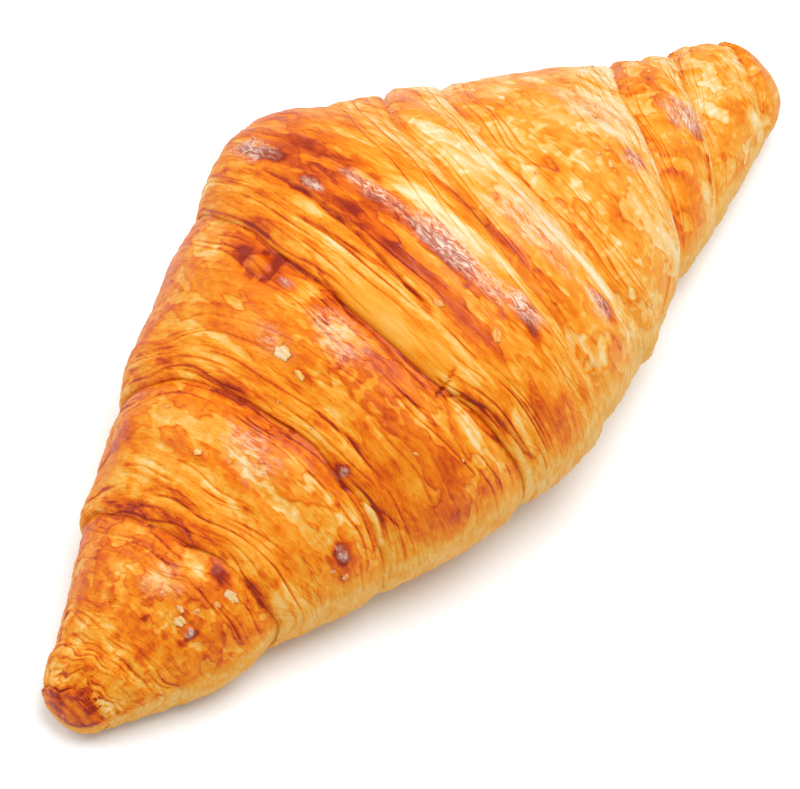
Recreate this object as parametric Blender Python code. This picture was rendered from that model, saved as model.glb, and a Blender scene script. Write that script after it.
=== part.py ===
"""Butter croissant, baked straight: a triangle of laminated dough rolled into a spindle.

The roll lies along X with its base on z = 0. Each turn of dough is a closed shell between two
rings. A side of it that faces away from the middle is a lip, a sloping stack of layers that rides
over the next turn out. The other side is tucked under the next turn in. The middle turn was rolled
last, so it has a lip on both sides. The turns, the loose chips of crust and the bubbles are fused
into one solid, and its base is cut flat where it sat on the baking sheet.

Angles go round the roll: 0 is the far side (+Y), 90 the crown, 180 the near side, 270 the base.
The tables are in millimetres, the scene in metres.
"""

import math

import bmesh
import bpy
import numpy as np

MM = 0.001

LENGTH = 160.0
WIDTH = 76.0
HEIGHT = 47.0
CENTRE_SHARE = 0.42  # height of a section's middle, as a share of the section's height
SKIN_INSET = 1.6  # how far the tucked skin lies inside the outline, which follows the crests
TIP_LIFT = 2.0  # how far the tips curl up off the baking sheet
TIP_ROUNDNESS = 1.25  # height over width at the tips, against the same at the middle

# Station along the roll as a share of LENGTH, half width there over half of WIDTH, and how far
# the roll bends towards +Y.
OUTLINE = (
    (-0.500, 0.15, -4.2),
    (-0.450, 0.26, -4.4),
    (-0.350, 0.46, -3.4),
    (-0.250, 0.63, -2.0),
    (-0.150, 0.81, -1.8),
    (-0.060, 0.93, -1.2),
    (0.030, 0.98, 0.0),
    (0.125, 0.87, -0.6),
    (0.225, 0.69, -2.2),
    (0.325, 0.51, -4.6),
    (0.425, 0.34, -7.4),
    (0.500, 0.24, -8.6),
)

# The rings between turns, from the left end to the right end: stations of each ring on the far
# side, at the crown, on the near side and at the base.
RINGS = (
    (-80.0, -80.0, -80.0, -80.0),
    (-77.5, -77.0, -75.5, -76.5),
    (-56.0, -52.3, -50.0, -53.0),
    (-38.5, -32.0, -33.0, -36.0),
    (-8.0, -13.5, -10.0, -9.0),
    (29.0, 11.0, 7.0, 16.0),
    (37.0, 23.0, 21.0, 28.0),
    (61.0, 50.5, 38.5, 46.0),
    (68.5, 63.0, 51.5, 58.0),
    (77.0, 75.0, 69.0, 72.0),
    (80.0, 80.0, 80.0, 80.0),
)

# One turn between each two rings: name, height of its crest over the tucked skin, width of its
# sloping lip as a share of the turn, and segments round the roll.
TURNS = (
    ("left_tip", 0.3, 0.30, 24),
    ("left_outer_turn", 1.5, 0.40, 36),
    ("left_wide_turn", 2.1, 0.42, 44),
    ("left_inner_turn", 2.1, 0.28, 48),
    ("middle_turn", 2.4, 0.30, 52),
    ("right_inner_turn", 1.6, 0.34, 48),
    ("right_wide_turn", 1.9, 0.24, 48),
    ("right_narrow_turn", 1.6, 0.30, 40),
    ("right_outer_turn", 1.3, 0.32, 36),
    ("right_tip", 0.3, 0.30, 24),
)
MIDDLE = 4

# A lip in section, from inside the roll out to its crest: distance from the ring into the turn, as
# a share of the lip's width, and height, as a share of the crest. The steps are layers of dough.
LIP_SECTION = (
    (0.34, -3.00),
    (0.04, -0.90),
    (-0.07, -0.05),
    (-0.06, 0.40),
    (0.10, 0.70),
    (0.30, 0.72),
    (0.45, 0.90),
    (0.68, 0.86),
    (0.86, 1.02),
    (1.00, 1.00),
)
# A tucked side, from inside the roll out: distance past the ring, and height as a share of crest.
TUCK_SECTION = ((5.0, -1.80), (1.5, -0.35), (-0.6, -0.05))
# A free end of the roll, from its point: share of the turn's length, and share of the radius.
END_SECTION = ((0.00, 0.30), (0.08, 0.62), (0.25, 0.88), (0.50, 1.00))
TREAD_ROWS = 3  # rows over the broad back of a turn
TREAD_SWELL = 0.08  # how much higher the back swells than the crest, as a share of the crest
TREAD_FALL = 1.6  # how late the back falls towards its tucked side

# Chips of crust and bubbles that stand up from the skin: station, angle, length round the roll,
# width along it, height, and how finely the bump is rounded.
CHIP, BUBBLE = 1, 2
BUMPS = (
    (-61.5, 122.0, 4.2, 2.6, 1.0, CHIP),
    (-54.0, 132.0, 4.6, 3.2, 1.0, CHIP),
    (-25.0, 88.0, 6.0, 4.2, 1.0, CHIP),
    (-26.5, 95.0, 3.4, 4.4, 0.9, CHIP),
    (-2.5, 128.0, 4.4, 2.8, 0.9, CHIP),
    (-16.5, 65.0, 8.0, 5.5, 1.8, BUBBLE),
    (-38.5, 150.0, 4.5, 3.6, 1.2, BUBBLE),
)
BUMP_LEVEL = 1.4  # height of a bump's middle over the tucked skin
PROBE = 0.5  # step at which the slope under a bump is felt

# Slow lumps of a hand-rolled body: height, waves in radians for each mm along the roll, waves
# round the roll, and phase.
LUMPS = (
    (0.22, 0.145, 1, 0.6),
    (0.20, 0.230, 2, 2.1),
    (0.18, 0.060, 3, 0.0),
)

CRUST_COLOUR = (0.72, 0.30, 0.06, 1.0)
CRUST_ROUGHNESS = 0.42
SHARP_ANGLE = math.radians(40)


def clear_scene():
    for old in list(bpy.data.objects):
        bpy.data.objects.remove(old)


def smooth_through(points, x):
    """A smooth curve through a few (place, value) points, without overshoot."""
    places, values = np.array(points, float).T
    slopes = np.diff(values) / np.diff(places)
    rising_on = slopes[:-1] * slopes[1:] > 0
    mean = 2 * slopes[:-1] * slopes[1:] / np.where(rising_on, slopes[:-1] + slopes[1:], 1.0)
    tangents = np.concatenate([slopes[:1], np.where(rising_on, mean, 0.0), slopes[-1:]])
    x = np.clip(x, places[0], places[-1])
    i = np.clip(np.searchsorted(places, x, side="right") - 1, 0, len(places) - 2)
    step = places[i + 1] - places[i]
    t = (x - places[i]) / step
    return (
        values[i] * (1 + 2 * t) * (1 - t) ** 2
        + values[i + 1] * t * t * (3 - 2 * t)
        + step * (tangents[i] * t * (1 - t) ** 2 - tangents[i + 1] * t * t * (1 - t))
    )


def half_width(station):
    shares = [(place, share) for place, share, _ in OUTLINE]
    return smooth_through(shares, station / LENGTH) * WIDTH / 2 - SKIN_INSET


def bend(station):
    return smooth_through([(place, bent) for place, _, bent in OUTLINE], station / LENGTH)


def lumps(station, angle):
    total = 0.0
    for height, along, around, phase in LUMPS:
        total += height * np.sin(along * station + around * angle + phase)
    return total * np.clip(half_width(station) / 20, 0, 1)


def on_body(station, angle, height):
    """Point of the roll at a station and angle, raised by a height over the tucked skin."""
    wide = half_width(station)
    tip = np.abs(2 * station / LENGTH) ** 3
    tall = HEIGHT / WIDTH * 2 * wide * (1 + (TIP_ROUNDNESS - 1) * tip)
    raised = height + lumps(station, angle)
    y = bend(station) + (wide + raised) * np.cos(angle)
    middle = CENTRE_SHARE * tall + TIP_LIFT * tip
    z = middle + ((1 - CENTRE_SHARE) * tall + raised) * np.sin(angle)
    return np.stack([station, y, z], axis=-1)


def spine_point(station):
    """The middle of the section at a station."""
    quarters = np.arange(4) * math.pi / 2
    return on_body(np.full(4, station), quarters, np.zeros(4)).mean(axis=0)


def ring_station(number, angle):
    """Station of a ring at an angle: a slanted loop round the roll through its four stations."""
    far, crown, near, base = RINGS[number]
    sides, poles = (far + near) / 2, (crown + base) / 2
    return (
        (sides + poles) / 2
        + (far - near) / 2 * np.cos(angle)
        + (crown - base) / 2 * np.sin(angle)
        + (sides - poles) / 2 * np.cos(2 * angle)
    )


def side_kinds(number):
    """How a turn's -X and +X sides are made."""
    low = "end" if number == 0 else "lip" if number <= MIDDLE else "tuck"
    high = "end" if number == len(TURNS) - 1 else "lip" if number >= MIDDLE else "tuck"
    return low, high


def side_rows(kind, ring, into, width, crest, lip_share):
    """(station, height) rows of one side, from inside the roll out to where the back starts.
    into is the way along X from the side into its turn: +1 or -1."""
    if kind == "lip":
        lip = into * lip_share * width
        return [(ring + away * lip, share * crest) for away, share in LIP_SECTION]
    if kind == "tuck":
        return [(ring - into * past, share * crest) for past, share in TUCK_SECTION]
    radius = half_width(ring)
    return [(ring + into * away * width, (share - 1) * radius) for away, share in END_SECTION]


def turn_rows(number, angle):
    """All (station, height) rows of a turn at the angles given, from its -X side to its +X side."""
    _, crest, lip_share, _ = TURNS[number]
    low_kind, high_kind = side_kinds(number)
    low, high = ring_station(number, angle), ring_station(number + 1, angle)
    low_side = side_rows(low_kind, low, 1, high - low, crest, lip_share)
    high_side = side_rows(high_kind, high, -1, high - low, crest, lip_share)
    start, stop = low_side[-1][0], high_side[-1][0]
    back = []
    for step in range(1, TREAD_ROWS + 1):
        share = step / (TREAD_ROWS + 1)
        from_tuck = {low_kind: share, high_kind: 1 - share}.get("tuck", 1.0)
        fall = math.cos(math.pi / 2 * (1 - from_tuck) ** TREAD_FALL)
        swell = 1 + TREAD_SWELL * math.sin(math.pi * share)
        back.append((start + share * (stop - start), crest * fall * swell))
    return low_side + back + high_side[::-1]


def move_to(thing, collection):
    for old in list(thing.users_collection):
        old.objects.unlink(thing)
    collection.objects.link(thing)


def add_turn(number, collection):
    """One turn of dough as a closed shell: a sphere whose parallels become the turn's rows."""
    name, _, _, segments = TURNS[number]
    row_count = len(turn_rows(number, np.zeros(1)))
    bpy.ops.mesh.primitive_uv_sphere_add(segments=segments, ring_count=row_count + 1)
    turn = bpy.context.active_object
    turn.name = name
    move_to(turn, collection)

    on_sphere = np.array([vertex.co for vertex in turn.data.vertices])
    angle = np.arctan2(on_sphere[:, 1], on_sphere[:, 0])
    row = np.rint((row_count + 1) * np.arccos(np.clip(-on_sphere[:, 2], -1, 1)) / math.pi)
    placed = np.zeros_like(on_sphere)
    for i, (station, height) in enumerate(turn_rows(number, angle), start=1):
        here = row == i
        height = np.broadcast_to(height, station.shape)
        placed[here] = on_body(station[here], angle[here], height[here])
    for pole_row, next_row in ((0, 1), (row_count + 1, row_count)):
        placed[row == pole_row] = spine_point(placed[row == next_row, 0].mean())
    turn.data.vertices.foreach_set("co", (placed * MM).ravel())
    return turn


def add_bump(number, collection):
    """A chip or bubble: a flattened icosphere half sunk into the skin."""
    station, degrees, length, width, rise, rounding = BUMPS[number]
    stations = np.array([station, station, station + PROBE])
    angles = np.radians(degrees) + np.array([0.0, PROBE / WIDTH, 0.0])
    here, round_on, along_on = on_body(stations, angles, np.full(3, BUMP_LEVEL))
    along = (along_on - here) / np.linalg.norm(along_on - here)
    out = np.cross(along, round_on - here)
    out /= np.linalg.norm(out)
    axes = np.stack([along * width / 2, np.cross(out, along) * length / 2, out * rise])
    bpy.ops.mesh.primitive_ico_sphere_add(subdivisions=rounding, radius=1.0)
    bump = bpy.context.active_object
    bump.name = f"bump_{number}"
    move_to(bump, collection)
    for vertex in bump.data.vertices:
        vertex.co = (here + np.array(vertex.co) @ axes) * MM


def apply_boolean(target, operation, **operand):
    change = target.modifiers.new(operation.lower(), "BOOLEAN")
    change.operation = operation
    change.solver = "MANIFOLD"
    for key, value in operand.items():
        setattr(change, key, value)
    graph = bpy.context.evaluated_depsgraph_get()
    changed = bpy.data.meshes.new_from_object(target.evaluated_get(graph))
    target.modifiers.remove(change)
    target.data = changed


def fuse(collection, target):
    """Joins every other shell of the collection to the target in one union."""
    move_to(target, bpy.context.scene.collection)
    apply_boolean(target, "UNION", operand_type="COLLECTION", collection=collection)
    for used in list(collection.objects):
        bpy.data.objects.remove(used)
    bpy.data.collections.remove(collection)


def cut_base_flat(target):
    """Takes off what lies under z = 0, where the croissant sat on its baking sheet."""
    depth = HEIGHT * MM
    bpy.ops.mesh.primitive_cube_add(size=1.0, location=(0, 0, -depth / 2))
    sheet = bpy.context.active_object
    sheet.scale = (2 * LENGTH * MM, 2 * WIDTH * MM, depth)
    apply_boolean(target, "DIFFERENCE", object=sheet)
    bpy.data.objects.remove(sheet)


def finish_mesh(target):
    """Splits the faces into triangles and puts the origin under the middle of the part's box."""
    mesh = bmesh.new()
    mesh.from_mesh(target.data)
    bmesh.ops.triangulate(mesh, faces=mesh.faces)
    corners = np.array([vertex.co for vertex in mesh.verts])
    shift = -(corners.min(axis=0) + corners.max(axis=0)) / 2
    shift[2] = -corners[:, 2].min()
    bmesh.ops.translate(mesh, verts=mesh.verts, vec=shift)
    mesh.to_mesh(target.data)
    mesh.free()


def crust_material():
    crust = bpy.data.materials.new("baked_crust")
    crust.use_nodes = True
    shader = crust.node_tree.nodes["Principled BSDF"]
    shader.inputs["Base Color"].default_value = CRUST_COLOUR
    shader.inputs["Roughness"].default_value = CRUST_ROUGHNESS
    shader.inputs["Metallic"].default_value = 0.0
    crust.diffuse_color = CRUST_COLOUR
    return crust


def main():
    clear_scene()
    shells = bpy.data.collections.new("dough_turns")
    bpy.context.scene.collection.children.link(shells)
    turns = [add_turn(number, shells) for number in range(len(TURNS))]
    for number in range(len(BUMPS)):
        add_bump(number, shells)

    croissant = turns[MIDDLE]
    fuse(shells, croissant)
    cut_base_flat(croissant)
    finish_mesh(croissant)
    croissant.name = "croissant"
    croissant.data.materials.clear()
    croissant.data.materials.append(crust_material())
    croissant.data.shade_smooth()
    croissant.data.set_sharp_from_angle(angle=SHARP_ANGLE)
    holder = bpy.data.collections.new("croissant")
    bpy.context.scene.collection.children.link(holder)
    move_to(croissant, holder)


main()
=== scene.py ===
"""The butter croissant dressed as baked: every turn of laminated dough with its own skin.

Each turn replaces its part of the plain solid. It starts as a flat sheet that is rolled into a
tube and drawn together at both ends. Its rows then lie across the turn, from the layers tucked
inside, over the lip, across the back and down into the next tuck. They are raised by layers,
streaks, flecks and lumps, and the same patterns bake the colour, so that relief and colour belong
together.

Angles go round the roll: 0 is the far side (+Y), 90 the crown, 180 the near side, 270 the base.
The tables are in millimetres and degrees, the scene in metres.
"""

import math

import bmesh
import bpy
import numpy as np
from mathutils import Matrix, Vector


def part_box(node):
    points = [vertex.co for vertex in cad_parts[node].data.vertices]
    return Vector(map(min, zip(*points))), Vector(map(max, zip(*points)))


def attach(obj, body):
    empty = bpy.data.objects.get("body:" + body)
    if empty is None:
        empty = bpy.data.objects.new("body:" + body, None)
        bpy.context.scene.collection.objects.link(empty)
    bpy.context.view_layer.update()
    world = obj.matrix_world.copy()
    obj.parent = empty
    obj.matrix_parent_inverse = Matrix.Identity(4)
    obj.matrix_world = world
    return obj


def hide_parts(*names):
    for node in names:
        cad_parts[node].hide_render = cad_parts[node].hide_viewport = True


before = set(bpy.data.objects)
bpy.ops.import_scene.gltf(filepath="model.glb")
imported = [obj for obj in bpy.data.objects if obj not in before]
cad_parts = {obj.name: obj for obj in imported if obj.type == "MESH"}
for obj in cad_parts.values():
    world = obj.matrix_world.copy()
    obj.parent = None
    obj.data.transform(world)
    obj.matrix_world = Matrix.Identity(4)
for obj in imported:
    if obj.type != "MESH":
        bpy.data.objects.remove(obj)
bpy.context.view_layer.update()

MM = 0.001
low_corner, high_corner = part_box("croissant")
LENGTH = (high_corner.x - low_corner.x) / MM
WIDTH = (high_corner.y - low_corner.y) / MM
HEIGHT = 47.0  # of the section before crests are added and the base is pressed flat
CENTRE_SHARE = 0.42  # height of a section's centre over the height of the section
SKIN_INSET = 1.6  # how far the tucked skin lies inside the outline
TIP_LIFT = 2.0  # how much higher the tips' centres lie
TIP_ROUNDNESS = 1.25  # height over width at the tips, against the middle

# Station along the roll as a share of LENGTH, half width there over half of WIDTH, and bend to +Y.
OUTLINE = (
    (-0.500, 0.15, -4.2),
    (-0.450, 0.26, -4.4),
    (-0.350, 0.46, -3.4),
    (-0.250, 0.63, -2.0),
    (-0.150, 0.81, -1.8),
    (-0.060, 0.93, -1.2),
    (0.030, 0.98, 0.0),
    (0.125, 0.87, -0.6),
    (0.225, 0.69, -2.2),
    (0.325, 0.51, -4.6),
    (0.425, 0.34, -7.4),
    (0.500, 0.24, -8.6),
)

# The rings between turns: stations on the far side, at the crown, on the near side, at the base.
RINGS = (
    (-80.0, -80.0, -80.0, -80.0),
    (-77.5, -77.0, -75.5, -76.5),
    (-56.0, -52.3, -50.0, -53.0),
    (-38.5, -32.0, -33.0, -36.0),
    (-8.0, -13.5, -10.0, -9.0),
    (29.0, 11.0, 7.0, 16.0),
    (37.0, 23.0, 21.0, 28.0),
    (61.0, 50.5, 38.5, 46.0),
    (68.5, 63.0, 51.5, 58.0),
    (77.0, 75.0, 69.0, 72.0),
    (80.0, 80.0, 80.0, 80.0),
)

# One turn between each two rings: name, height of its crest, width of its lip as a share of the
# turn, tone of its back and tone of its lip, from 0 pale to 1 dark.
TURNS = (
    ("left_tip", 0.3, 0.30, 0.68, 0.62),
    ("left_outer_turn", 1.5, 0.40, 0.61, 0.48),
    ("left_wide_turn", 2.1, 0.42, 0.60, 0.48),
    ("left_inner_turn", 2.1, 0.28, 0.62, 0.50),
    ("middle_turn", 2.4, 0.30, 0.68, 0.41),
    ("right_inner_turn", 1.6, 0.34, 0.47, 0.28),
    ("right_wide_turn", 1.9, 0.24, 0.44, 0.25),
    ("right_narrow_turn", 1.6, 0.30, 0.52, 0.30),
    ("right_outer_turn", 1.3, 0.32, 0.41, 0.31),
    ("right_tip", 0.3, 0.30, 0.46, 0.36),
)
MIDDLE = 4

# A lip in section, from inside the roll out to its crest: distance from the ring into the turn, as
# a share of the lip's width, and height, as a share of the crest.
LIP_SECTION = (
    (0.34, -3.00),
    (0.04, -0.90),
    (-0.04, -0.05),
    (-0.02, 0.26),
    (0.12, 0.50),
    (0.36, 0.73),
    (0.68, 0.92),
    (1.00, 1.00),
)
# A tuck in section, the same way, but as a distance in mm past the ring.
TUCK_SECTION = ((5.0, -1.80), (1.5, -0.35), (-0.6, -0.05))
# A tip in section: distance from the end as a share of the turn, and share of the radius there.
END_SECTION = ((0.00, 0.30), (0.08, 0.62), (0.25, 0.88), (0.50, 1.00))
BACK_KNOTS = 5  # between the lip or tuck on either side
BACK_SWELL = 0.08  # how much the back rises over the crest half way
BACK_FALL = 1.6  # how late the back falls to its tuck
NEAR_FALL = 0.45  # how much lower the crests lie on the near flank

# Broad lumps of the roll: height, waves per mm along it, waves round it, and phase.
LUMPS = (
    (0.22, 0.145, 1, 0.6),
    (0.20, 0.230, 2, 2.1),
    (0.18, 0.060, 3, 0.0),
)

ROW_STEP = 0.16  # spacing of rows across a turn
COLUMN_STEP = 0.34  # spacing of columns round the roll
CROWN_SHARE = 0.40  # how much closer columns stand at the crown than on average
MOST_QUADS = 96000  # in one turn
ROUNDNESS = 0.85  # girth of a section over that of a circle as wide
REST_RIM = 1.2  # height at which the skin starts to flatten against the sheet
RING_SWAY = 0.45  # how far the rings wander, on average

# Marks that baking left on the crust, and three painted ones noted below: station, angle, half
# length along the roll, half length round it in degrees, and change of tone.
MARKS = (
    (-79.0, 72, 2.0, 26, 0.20),
    (-79.6, 165, 2.0, 20, 0.22),
    (-77.0, 128, 1.2, 22, 0.22),
    (-68.4, 82, 1.2, 26, -0.12),
    (-64.2, 136, 2.2, 8, 0.10),
    (-61.2, 135, 1.1, 3, 0.44),
    (-61.0, 134, 2.6, 7, 0.14),
    (-60.8, 72, 1.6, 9, -0.16),
    # Painted highlight: paler where the glaze catches the light.
    (-59.2, 98, 2.2, 10, -0.18),
    (-55.0, 112, 1.4, 8, -0.14),
    (-57.0, 155, 4.0, 12, 0.14),
    (-53.4, 56, 1.6, 22, 0.22),
    (-52.6, 96, 1.3, 26, 0.16),
    (-52.6, 122, 1.3, 9, 0.26),
    (-51.2, 145, 1.8, 11, 0.26),
    (-47.0, 95, 2.4, 60, -0.12),
    (-45.5, 38, 3.0, 12, 0.12),
    (-42.2, 79, 1.2, 4, -0.18),
    (-41.0, 126, 2.0, 10, -0.08),
    # Painted highlight: paler where the glaze catches the light.
    (-39.4, 96, 1.8, 8, -0.18),
    (-38.5, 150, 1.0, 6, 0.50),
    (-38.4, 151, 2.4, 12, 0.18),
    (-35.0, 114, 1.6, 7, -0.16),
    (-34.6, 148, 2.0, 14, -0.12),
    (-33.2, 82, 1.2, 34, 0.20),
    (-31.0, 125, 0.9, 3, 0.44),
    (-31.2, 125, 2.2, 7, 0.14),
    (-24.4, 72, 1.6, 5, -0.14),
    (-24.0, 48, 3.0, 12, -0.06),
    (-20.0, 118, 4.0, 12, 0.07),
    (-19.0, 142, 3.0, 12, 0.10),
    (-18.6, 97, 2.4, 7, -0.18),
    (-16.9, 76, 1.2, 4, 0.26),
    (-15.4, 66, 4.6, 14, 0.12),
    (-15.5, 57, 1.5, 3, 0.22),
    (-14.0, 69, 1.1, 3, 0.24),
    (-13.6, 141, 1.9, 10, -0.28),
    (-13.4, 152, 2.2, 11, -0.08),
    (-13.0, 118, 1.4, 6, 0.12),
    (-12.4, 105, 1.9, 21, -0.05),
    (-12.2, 157, 2.2, 8, -0.14),
    # Painted shade: darker in the tuck groove.
    (-11.9, 135, 0.9, 9, 0.20),
    (-11.6, 58, 1.4, 6, 0.18),
    (-8.6, 96, 2.0, 30, 0.15),
    (-6.0, 152, 2.2, 12, 0.08),
    (-4.6, 100, 1.4, 34, 0.16),
    (-3.4, 92, 1.4, 20, 0.10),
    (-3.2, 74, 1.0, 14, 0.20),
    (-2.6, 67, 1.1, 4, 0.30),
    (-1.2, 72, 2.6, 20, 0.05),
    (-0.6, 44, 1.6, 10, 0.44),
    (-0.5, 149, 3.6, 9, -0.12),
    (0.4, 104, 1.8, 22, 0.32),
    (1.7, 131, 1.4, 6, 0.46),
    (2.2, 104, 1.2, 16, 0.20),
    (3.0, 60, 1.6, 10, 0.14),
    (3.6, 92, 1.4, 16, -0.06),
    (5.2, 100, 1.4, 24, -0.14),
    (5.8, 100, 1.8, 46, -0.08),
    (9.4, 122, 1.0, 36, 0.24),
    (11.6, 100, 2.0, 16, -0.12),
    (13.2, 160, 2.6, 8, 0.20),
    (14.9, 117, 1.0, 14, 0.14),
    (15.8, 146, 1.6, 7, 0.34),
    (17.0, 82, 6.0, 20, -0.14),
    (18.4, 136, 1.5, 26, -0.14),
    (24.2, 95, 1.8, 8, -0.16),
    (27.4, 103, 3.0, 6, 0.14),
    (30.2, 130, 4.0, 10, 0.15),
    (33.0, 108, 3.0, 6, -0.14),
    (35.4, 64, 2.6, 8, -0.16),
    (36.0, 90, 7.0, 10, -0.10),
    (41.2, 116, 2.6, 6, 0.30),
    (42.0, 150, 4.0, 10, 0.10),
    (43.2, 60, 1.6, 8, -0.22),
    (47.8, 128, 2.2, 9, 0.10),
    (53.9, 133, 1.5, 8, 0.26),
    (55.4, 122, 1.8, 8, 0.34),
    (57.0, 108, 2.0, 10, 0.22),
    (65.5, 125, 3.0, 12, 0.12),
    (66.0, 108, 1.6, 8, -0.12),
    (68.2, 140, 1.4, 14, -0.14),
)

# Rough glazed patches where the light catches many small bubbles: a thicker coat and bumps, and in
# the colour painted highlights on the bubbles, painted shade between them and a pinkish tint that
# is partly painted sheen. Columns: station, angle, half sizes, and how strong they are.
GLINTING_GLAZE = (
    (-59.0, 99, 2.6, 11, 0.40),
    (-61.4, 133, 0.7, 3, 0.90),
    (-38.0, 98, 3.0, 13, 0.50),
    (-38.3, 150, 0.8, 4, 0.90),
    (-31.0, 126, 0.6, 2, 0.80),
    (-24.6, 82, 2.0, 7, 0.30),
    (-18.8, 97, 2.8, 10, 0.60),
    (-16.6, 76, 0.8, 3, 0.70),
    (-2.7, 68, 0.9, 4, 0.90),
    (-0.4, 41, 2.0, 9, 0.90),
    (1.4, 80, 1.3, 8, 0.80),
    (1.8, 105, 2.8, 18, 1.00),
    (2.8, 128, 1.8, 7, 0.90),
    (15.6, 115, 4.4, 14, 0.70),
    (15.0, 143, 1.6, 7, 0.80),
    (43.4, 92, 3.8, 18, 0.60),
    (41.0, 116, 2.2, 6, 0.75),
    (56.8, 110, 3.2, 15, 1.00),
)

# Edges of single layers and cracks: points as (station, angle), width, depth, how much higher the
# side towards +X stands, and painted shade along it, as a change of tone.
CREASES = (
    (
        ((-7.6, 114), (-6.9, 100), (-5.8, 88), (-4.8, 75), (-3.6, 60), (-3.0, 46)),
        *(0.26, 0.40, 0.55, 0.42),
    ),
    (
        ((-10.6, 74), (-13.2, 84), (-14.6, 94), (-14.9, 106), (-15.3, 120), (-15.3, 127)),
        *(0.24, 0.35, -0.30, 0.34),
    ),
    (((-15.6, 127.5), (-13.6, 127.5), (-11.8, 126.0), (-10.2, 125.0)), 0.20, 0.40, 0.20, 0.45),
    (
        ((-14.6, 128), (-12.4, 132), (-11.0, 139), (-10.2, 148), (-9.2, 160), (-7.5, 169)),
        *(0.20, 0.35, 0.40, 0.34),
    ),
    (((-32.5, 128), (-31.6, 138), (-30.6, 146), (-29.8, 156)), 0.20, 0.30, -0.30, 0.34),
    (((-28.0, 132), (-27.6, 118), (-28.2, 104)), 0.18, 0.25, 0.25, 0.26),
    (((-52.6, 104), (-51.2, 90), (-51.8, 74), (-53.2, 58)), 0.22, 0.35, -0.25, 0.34),
    (((-70.2, 140), (-69.9, 124), (-70.3, 108)), 0.18, 0.25, 0.20, 0.28),
    (((52.0, 152), (53.6, 144), (55.2, 135)), 0.26, 0.35, 0.30, 0.36),
    (((26.5, 176), (30.5, 166), (34.5, 157)), 0.20, 0.25, 0.20, 0.22),
    (((76.6, 60), (77.6, 85), (78.2, 110), (77.4, 136)), 0.30, 0.30, -0.30, 0.08),
)

# Blisters in the glaze: station, angle, radius, height, and tone of the moat round them.
BLISTERS = (
    (-16.2, 65, 1.7, 0.80, 0.24),
    (-38.7, 148, 0.7, 0.30, 0.0),
    (-38.1, 153, 0.6, 0.25, 0.0),
    (-61.4, 132, 0.8, 0.30, 0.0),
    (0.9, 131, 0.8, 0.25, 0.0),
    (-31.0, 125, 0.7, 0.25, 0.0),
    (-43.0, 83, 0.8, 0.25, -0.12),
    (-64.5, 78, 0.9, 0.25, -0.12),
    (38.0, 112, 0.9, 0.20, -0.10),
    (34.0, 106, 0.7, 0.20, -0.10),
)

# Where the roll is fuller or leaner than its section, on the far flank and then on the near
# one: station, angle, half sizes, height.
SWELLS = (
    (-72.0, 14, 3.0, 30, -0.6),
    (-66.0, 15, 5.5, 30, -1.2),
    (-56.0, 15, 2.5, 26, 0.9),
    (-47.0, 15, 4.5, 30, -0.9),
    (-36.0, 16, 4.0, 30, 0.6),
    (-25.0, 18, 6.0, 30, -0.9),
    (-7.0, 16, 5.0, 30, 0.5),
    (2.0, 16, 3.0, 30, 0.4),
    (17.0, 24, 5.0, 30, -1.2),
    (32.0, 26, 7.0, 28, 0.7),
    (36.0, 20, 3.0, 26, 0.5),
    (47.0, 28, 5.0, 28, -0.8),
    (60.5, 24, 2.5, 30, 0.8),
    (64.0, 26, 2.0, 28, -1.2),
    (68.0, 24, 2.2, 28, 0.1),
    (76.0, 22, 3.0, 30, -1.2),
    (-73.0, 196, 5.0, 30, -0.4),
    (-62.0, 196, 5.0, 30, 0.6),
    (-50.0, 196, 4.0, 30, -0.6),
    (-37.0, 194, 7.0, 30, 0.55),
    (-13.0, 194, 2.2, 28, 0.3),
    (-8.0, 194, 3.0, 30, -0.6),
    (6.0, 196, 5.0, 30, 0.8),
    (24.0, 198, 3.0, 30, 0.9),
    (32.0, 204, 6.0, 28, -0.6),
    (53.0, 200, 3.0, 30, 0.7),
    (64.0, 204, 8.0, 28, -0.4),
    (74.0, 204, 4.0, 30, -0.5),
)

# Flakes that stand off the crust: station, angle, length round the roll, width, turn in degrees,
# lift, and tone.
FLAKES = (
    (-61.0, 123, 2.0, 1.5, 20, 0.30, 0.10),
    (-59.8, 118, 1.4, 1.0, -30, 0.20, 0.16),
    (-58.4, 126, 1.2, 0.8, 40, 0.20, 0.20),
    (-53.4, 133, 2.3, 1.7, 10, 0.28, 0.12),
    (-55.6, 131, 1.2, 0.9, -20, 0.20, 0.22),
    (-25.4, 87, 3.2, 1.9, 12, 0.30, -0.06),
    (-26.4, 95, 1.9, 1.2, -10, 0.22, 0.12),
    (-43.2, 83, 1.5, 1.1, 10, 0.22, 0.16),
    (-3.6, 127, 2.2, 1.5, -25, 0.26, 0.20),
    (-6.4, 111, 1.8, 0.9, 25, 0.22, 0.20),
    (7.8, 157, 0.9, 0.7, 0, 0.25, 0.20),
    (36.5, 113, 1.3, 1.0, 0, 0.16, 0.12),
    (52.5, 122, 1.0, 0.7, 30, 0.16, 0.18),
)
FLAKE_THICKNESS = 0.16
FLAKE_CLEARANCE = 0.06  # under the middle of a flake
STREWN_FLAKES = 30  # small ones, anywhere on the crown and the near side
BARE_PLACE = (-16, 64, 5, 18)  # no strewn flakes near the big blister: station, angle, half sizes

# Where pale flecks crowd: station, angle, half sizes.
FLECKED = (
    (-63.0, 116, 4.0, 26),
    (-40.0, 104, 5.0, 22),
    (-23.0, 112, 6.0, 20),
    (-21.0, 92, 4.0, 12),
    (-1.0, 124, 2.6, 12),
    (20.0, 96, 6.0, 16),
    (29.0, 118, 7.0, 12),
    (45.0, 104, 6.0, 20),
)

# Where the skin is smooth, with half sizes: round the big blister, and along the pale strip.
BLISTER_SKIN = (-16.4, 64, 4.0, 15)
PALE_STRIP = (-12.4, 106, 2.6, 22)
SIDE_TONE = 0.22  # of the flanks near the base

SEED = 20
FAR_OFF = 99.0


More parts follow.
